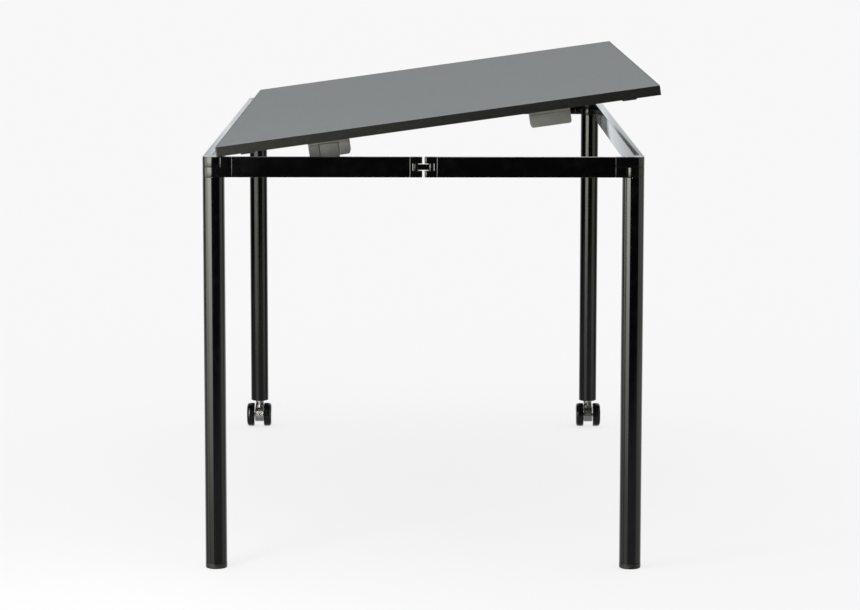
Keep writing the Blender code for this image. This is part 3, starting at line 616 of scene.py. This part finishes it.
# ---------------------------------------------------------------- blocks and latches under the top
BLOCK_W = 0.070
BLOCK_D = 0.050
BLOCK_H = 0.0305
BLOCK_X = 0.189
BLOCK_IN = 0.068
BAND_H = 0.0078
BAND_EDGE = 0.0007
GROOVE_H = 0.0015
NECK_TOP = -0.006
NECK_LOW = -0.0105
NECK_IN = 0.0014
BODY_IN = 0.0003
BODY_EDGE = 0.0008
FOOT_R = 0.0042
CHEEK_R = 0.0008
CHEEK_EDGE = 0.0007
CHEEK_NECK_OUT = 0.0012
CHEEK_NECK_IN = 0.0008
LATCH_W = 0.032
LATCH_L = 0.026
LATCH_TOP = -0.0086
LATCH_LOW = -0.0368
LATCH_R = 0.0006
LATCH_EDGE = 0.0007
LIP_H = 0.0060
LIP_LAP = 0.0008
LIP_IN = 0.0010
LIP_R = 0.0016
LIP_EDGE = 0.0009
POCKET_HALF = 0.0167
POCKET_DEEP = 0.0325
BODY_TOP = -BAND_H - GROOVE_H


def rounded_foot(low_x, high_x, top, foot, left_round, right_round):
    """Outline of a block seen from the end, square above and rounded at its two lower corners."""
    points = [(low_x, top)]
    points += arc(low_x + left_round, foot + left_round, left_round, 180, 270, 6)
    points += arc(high_x - right_round, foot + right_round, right_round, 270, 360, 6)
    points.append((high_x, top))
    return points


def box_outline(low_x, high_x, low, high):
    """A rectangle's corners, from its upper left one round by the lower side."""
    return [(low_x, high), (low_x, low), (high_x, low), (high_x, high)]


def latch_body(bm, half, outer, inner, side_y):
    """The body of a block with a latch: a back across its width and two cheeks beside the pocket."""
    pocket = outer - side_y * POCKET_DEEP
    low_y, high_y = sorted((inner, pocket))
    neck = box_outline(-half + NECK_IN, half - NECK_IN, NECK_LOW, NECK_TOP)
    slab(bm, neck, low_y + NECK_IN, high_y - 0.0004, "Y")
    body = rounded_foot(-half + BODY_IN, half - BODY_IN, BODY_TOP, -BLOCK_H, FOOT_R, FOOT_R)
    slab(bm, body, low_y + BODY_IN, high_y, "Y", BODY_EDGE, 3)
    low_y, high_y = sorted((outer - side_y * BODY_IN, pocket - side_y * 0.001))
    for low_x, high_x, left, right in (
        (-half + BODY_IN, -POCKET_HALF, FOOT_R, CHEEK_R),
        (POCKET_HALF, half - BODY_IN, CHEEK_R, FOOT_R),
    ):
        cheek = rounded_foot(low_x, high_x, BODY_TOP, -BLOCK_H, left, right)
        slab(bm, cheek, low_y, high_y, "Y", CHEEK_EDGE, 3)
        neck = box_outline(low_x + CHEEK_NECK_OUT, high_x - CHEEK_NECK_IN, NECK_LOW, NECK_TOP)
        slab(bm, neck, low_y + CHEEK_NECK_OUT, high_y - CHEEK_NECK_OUT, "Y")


def plain_body(bm, half, low_y, high_y):
    """The body of a plain block."""
    neck = box_outline(-half + NECK_IN, half - NECK_IN, NECK_LOW, NECK_TOP)
    slab(bm, neck, low_y + CHEEK_NECK_OUT, high_y - CHEEK_NECK_OUT, "Y")
    body = rounded_foot(-half + BODY_IN, half - BODY_IN, BODY_TOP, -BLOCK_H, FOOT_R, FOOT_R)
    slab(bm, body, low_y + BODY_IN, high_y - BODY_IN, "Y", BODY_EDGE, 3)


def block_case(name, middle_x, side_y, has_latch, replaced):
    """A moulded block: a band against the board, a shadow groove and a body with rounded lower corners."""
    outer = side_y * (TOP_L / 2 - BLOCK_IN)
    inner = outer - side_y * BLOCK_D
    low_y, high_y = sorted((outer, inner))
    half = BLOCK_W / 2
    bm = bmesh.new()
    slab(bm, box_outline(-half, half, -BAND_H, -FIT), low_y, high_y, "Y", BAND_EDGE, 3)
    if has_latch:
        latch_body(bm, half, outer, inner, side_y)
    else:
        plain_body(bm, half, low_y, high_y)
    case = piece(name, bm, GREY, "top", TOP_PLACE @ Matrix.Translation((middle_x, 0, 0)))
    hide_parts(replaced)


def latch_tongue(name, middle_x, side_y, body, replaced):
    """The sprung tongue: a flat face over a narrower lip with rounded edges."""
    outer = side_y * (TOP_L / 2 - BLOCK_IN)
    low_y, high_y = sorted((outer, outer - side_y * LATCH_L))
    half = LATCH_W / 2
    bm = bmesh.new()
    face = rounded_foot(-half, half, LATCH_TOP, LATCH_LOW + LIP_H - LIP_LAP, LATCH_R, LATCH_R)
    slab(bm, face, low_y + 0.0002, high_y - 0.0002, "Y", LATCH_EDGE, 3)
    lip = rounded_foot(-half + LATCH_R, half - LATCH_R, LATCH_LOW + LIP_H, LATCH_LOW, LIP_R, LIP_R)
    slab(bm, lip, low_y + LIP_IN, high_y - LIP_IN, "Y", LIP_EDGE, 3)
    tongue = piece(name, bm, GREY, body, TOP_PLACE @ Matrix.Translation((middle_x, 0, 0)))
    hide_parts(replaced)


for end, side_y in (("near", -1), ("far", 1)):
    left_x = TOP_W / 2 - BLOCK_X
    right_x = TOP_W / 2 + BLOCK_X
    block_case(f"latch_case_{end}", left_x, side_y, True, f"latch_block_{end}_left")
    latch_tongue(f"latch_tongue_{end}", left_x, side_y, f"latch_{end}", f"latch_{end}_left")
    block_case(f"rest_case_{end}", right_x, side_y, False, f"rest_block_{end}_right")


# ---------------------------------------------------------------- corner castings, rails and middle caps
NOSE = 0.002
CLEAR_R = LEG_R + KNUCKLE_GAP
CORNER = 0.0009
RIM = 0.0005
INNER_Y = RAIL_T - LEG_R
OUTER_Y = -LEG_R
OVERLAP = 0.0002
RAIL_EDGE = 0.0011
LINK_WAIST = 0.0068
LINK_WAIST_IN = 0.0013
LINK_EDGE = 0.0006
PIN_R = 0.0022
PIN_HEAD = 0.0004
PIN_FOOT = 0.0022


def knuckle_outline():
    """The round knuckle and its bar along +X; the outer face is at -Y."""
    reach = REACH - FIT / 2
    meets = math.degrees(math.asin(INNER_Y / LEG_R))
    points = arc(reach - CORNER, -LEG_R + CORNER, CORNER, 360, 270, 4)
    points += arc(0, 0, LEG_R, 270, meets, 60)
    points += arc(reach - CORNER, INNER_Y - CORNER, CORNER, 90, 0, 4)
    return points


def bar_outline():
    """The bar alone, hollowed round the other casting's knuckle and ending in a rounded nose."""
    reach = REACH - FIT / 2
    nose_y = -LEG_R + NOSE
    nose_x = math.sqrt((CLEAR_R + NOSE) ** 2 - nose_y**2)
    touch = math.degrees(math.atan2(nose_y, nose_x))
    end = math.degrees(math.asin(INNER_Y / CLEAR_R))
    points = arc(reach - CORNER, -LEG_R + CORNER, CORNER, 360, 270, 4)
    points += arc(nose_x, nose_y, NOSE, 270, touch + 180, 10)
    points += arc(0, 0, CLEAR_R, touch, end, 10)[1:]
    points += arc(reach - CORNER, INNER_Y - CORNER, CORNER, 90, 0, 4)
    return points


def corner_place(side_x, side_y, turn, flipped):
    """From a piece's own frame, with a leg's axis at its start and its length on +X, to the table's."""
    centre = (LEFT_X if side_x < 0 else RIGHT_X, NEAR_Y if side_y < 0 else FAR_Y, 0)
    flip = Matrix.Scale(-1, 4, (0, 1, 0)) if flipped else Matrix.Identity(4)
    return Matrix.Translation(centre) @ Matrix.Rotation(turn, 4, "Z") @ flip


def corner_casting(name, places, upper, body, replaced):
    """Knuckle in one half of the rail's height, bar in both."""
    bm = bmesh.new()
    middle = RAIL_MID
    if upper:
        slab(bm, knuckle_outline(), middle + FIT / 2, FRAME_TOP, "Z", RIM, 3)
        slab(bm, bar_outline(), RAIL_LOW, middle + FIT / 2 + OVERLAP, "Z", RIM, 3)
    else:
        slab(bm, knuckle_outline(), RAIL_LOW, middle - FIT / 2, "Z", RIM, 3)
        slab(bm, bar_outline(), middle - FIT / 2 - OVERLAP, FRAME_TOP, "Z", RIM, 3)
    casting = piece(name, bm, CASTING_BLACK, body, places)
    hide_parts(replaced)


def rail_bar(name, start, end, places, body, replaced):
    """A rail along +X with soft long edges and a fine radius at both ends."""
    low_y, high_y = OUTER_Y, INNER_Y
    points = arc(start + CORNER, low_y + CORNER, CORNER, 180, 270, 4)
    points += arc(end - CORNER, low_y + CORNER, CORNER, 270, 360, 4)
    points += arc(end - CORNER, high_y - CORNER, CORNER, 0, 90, 4)
    points += arc(start + CORNER, high_y - CORNER, CORNER, 90, 180, 4)
    bm = bmesh.new()
    slab(bm, points, RAIL_LOW, FRAME_TOP, "Z", RAIL_EDGE, 4)
    bar = piece(name, bm, RAIL_BLACK, body, places)
    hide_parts(replaced)


def middle_cap(name, places, body, replaced):
    """The slotted cap at a half rail's inner end: two jaws with rounded noses on one root."""
    end = (RIGHT_X - LEFT_X) / 2 - LINK_GAP / 2
    start = end - CAP_LENGTH + FIT / 2
    low_y, high_y = OUTER_Y, INNER_Y
    jaw = arc(start + CORNER, high_y - CORNER, CORNER, 90, 180, 4)
    jaw += arc(start + CORNER, low_y + CORNER, CORNER, 180, 270, 4)
    root = list(jaw)
    jaw += arc(end - NOSE_R, low_y + NOSE_R, NOSE_R, 270, 360, 10)
    jaw += arc(end - NOSE_R, high_y - NOSE_R, NOSE_R, 0, 90, 10)
    back = (RIGHT_X - LEFT_X) / 2 - PIN_SPACING / 2 - LINK_R - 2 * FIT
    root += [(back, low_y), (back, high_y)]
    slot = LINK_H / 2 + FIT
    bm = bmesh.new()
    slab(bm, jaw, RAIL_MID + slot, FRAME_TOP, "Z", RIM, 3)
    slab(bm, jaw, RAIL_LOW, RAIL_MID - slot, "Z", RIM, 3)
    slab(bm, root, RAIL_MID - slot - RIM, RAIL_MID + slot + RIM, "Z")
    cap = piece(name, bm, CASTING_BLACK, body, places)
    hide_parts(replaced)


def pin_place(side_x, side_y):
    """Where a middle joint's pin stands in plan."""
    line_y = (NEAR_Y if side_y < 0 else FAR_Y) + side_y * (LEG_R - RAIL_T / 2)
    return (LEFT_X + RIGHT_X) / 2 + side_x * PIN_SPACING / 2, line_y


def link_bar(name, side_y, body, replaced):
    """A dog-bone: two round ends on a thinner, lower waist."""
    bm = bmesh.new()
    half = LINK_H / 2
    (left_x, line_y), (right_x, _) = pin_place(-1, side_y), pin_place(1, side_y)
    waist = [
        (left_x, line_y - LINK_WAIST / 2),
        (right_x, line_y - LINK_WAIST / 2),
        (right_x, line_y + LINK_WAIST / 2),
        (left_x, line_y + LINK_WAIST / 2),
    ]
    slab(bm, waist, RAIL_MID - half + LINK_WAIST_IN, RAIL_MID + half - LINK_WAIST_IN, "Z", LINK_EDGE, 3)
    for eye_x in (left_x, right_x):
        eye = arc(eye_x, line_y, LINK_R, 0, 350, 35)
        slab(bm, eye, RAIL_MID - half, RAIL_MID + half, "Z", LINK_EDGE, 3)
    bar = piece(name, bm, CASTING_BLACK, body)
    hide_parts(replaced)


def link_pin_head(name, side_x, side_y, body, replaced):
    """A pin with a low domed head standing just proud of the cap."""
    bm = bmesh.new()
    top = FRAME_TOP + PIN_HEAD
    foot = RAIL_LOW + PIN_FOOT
    profile = [(0.0, top), (0.0012, top - 0.0001), (0.0020, top - 0.0004), (PIN_R, top - 0.0008)]
    profile += [(PIN_R, foot + 0.0004), (PIN_R - 0.0004, foot), (0.0, foot)]
    turned(bm, profile, pin_place(side_x, side_y), 32)
    pin = piece(name, bm, PIN_STEEL, body)
    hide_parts(replaced)


HALF_SPAN = (RIGHT_X - LEFT_X) / 2
LONG_SPAN = FAR_Y - NEAR_Y
for side, side_x in (("left", -1), ("right", 1)):
    frame_body = f"{side}_frame"
    long_place = corner_place(side_x, -1, QUARTER, side_x < 0)
    rail_bar(f"{side}_long_bar", REACH, LONG_SPAN - REACH, long_place, frame_body, f"{side}_long_rail")
    for end, side_y in (("near", -1), ("far", 1)):
        long_turn = -side_y * QUARTER
        corner_casting(
            f"{side}_corner_{end}",
            corner_place(side_x, side_y, long_turn, side_x * side_y > 0),
            side_x == side_y,
            frame_body,
            f"{side}_rail_casting_{end}",
        )
        half = f"{end}_{side}"
        end_turn = 0.0 if side_x < 0 else 2 * QUARTER
        end_place = corner_place(side_x, side_y, end_turn, side_x * side_y < 0)
        half_body = f"{half}_half"
        corner_casting(f"end_corner_{half}", end_place, side_x != side_y, half_body, f"end_casting_{half}")
        rail_end = HALF_SPAN - LINK_GAP / 2 - CAP_LENGTH
        rail_bar(f"end_bar_{half}", REACH, rail_end, end_place, half_body, f"end_rail_{half}")
        middle_cap(f"slotted_cap_{half}", end_place, half_body, f"middle_cap_{half}")
        link_pin_head(f"headed_pin_{half}", side_x, side_y, half_body, f"link_pin_{half}")
for end, side_y in (("near", -1), ("far", 1)):
    link_bar(f"dog_bone_{end}", side_y, f"{end}_link", f"link_{end}")
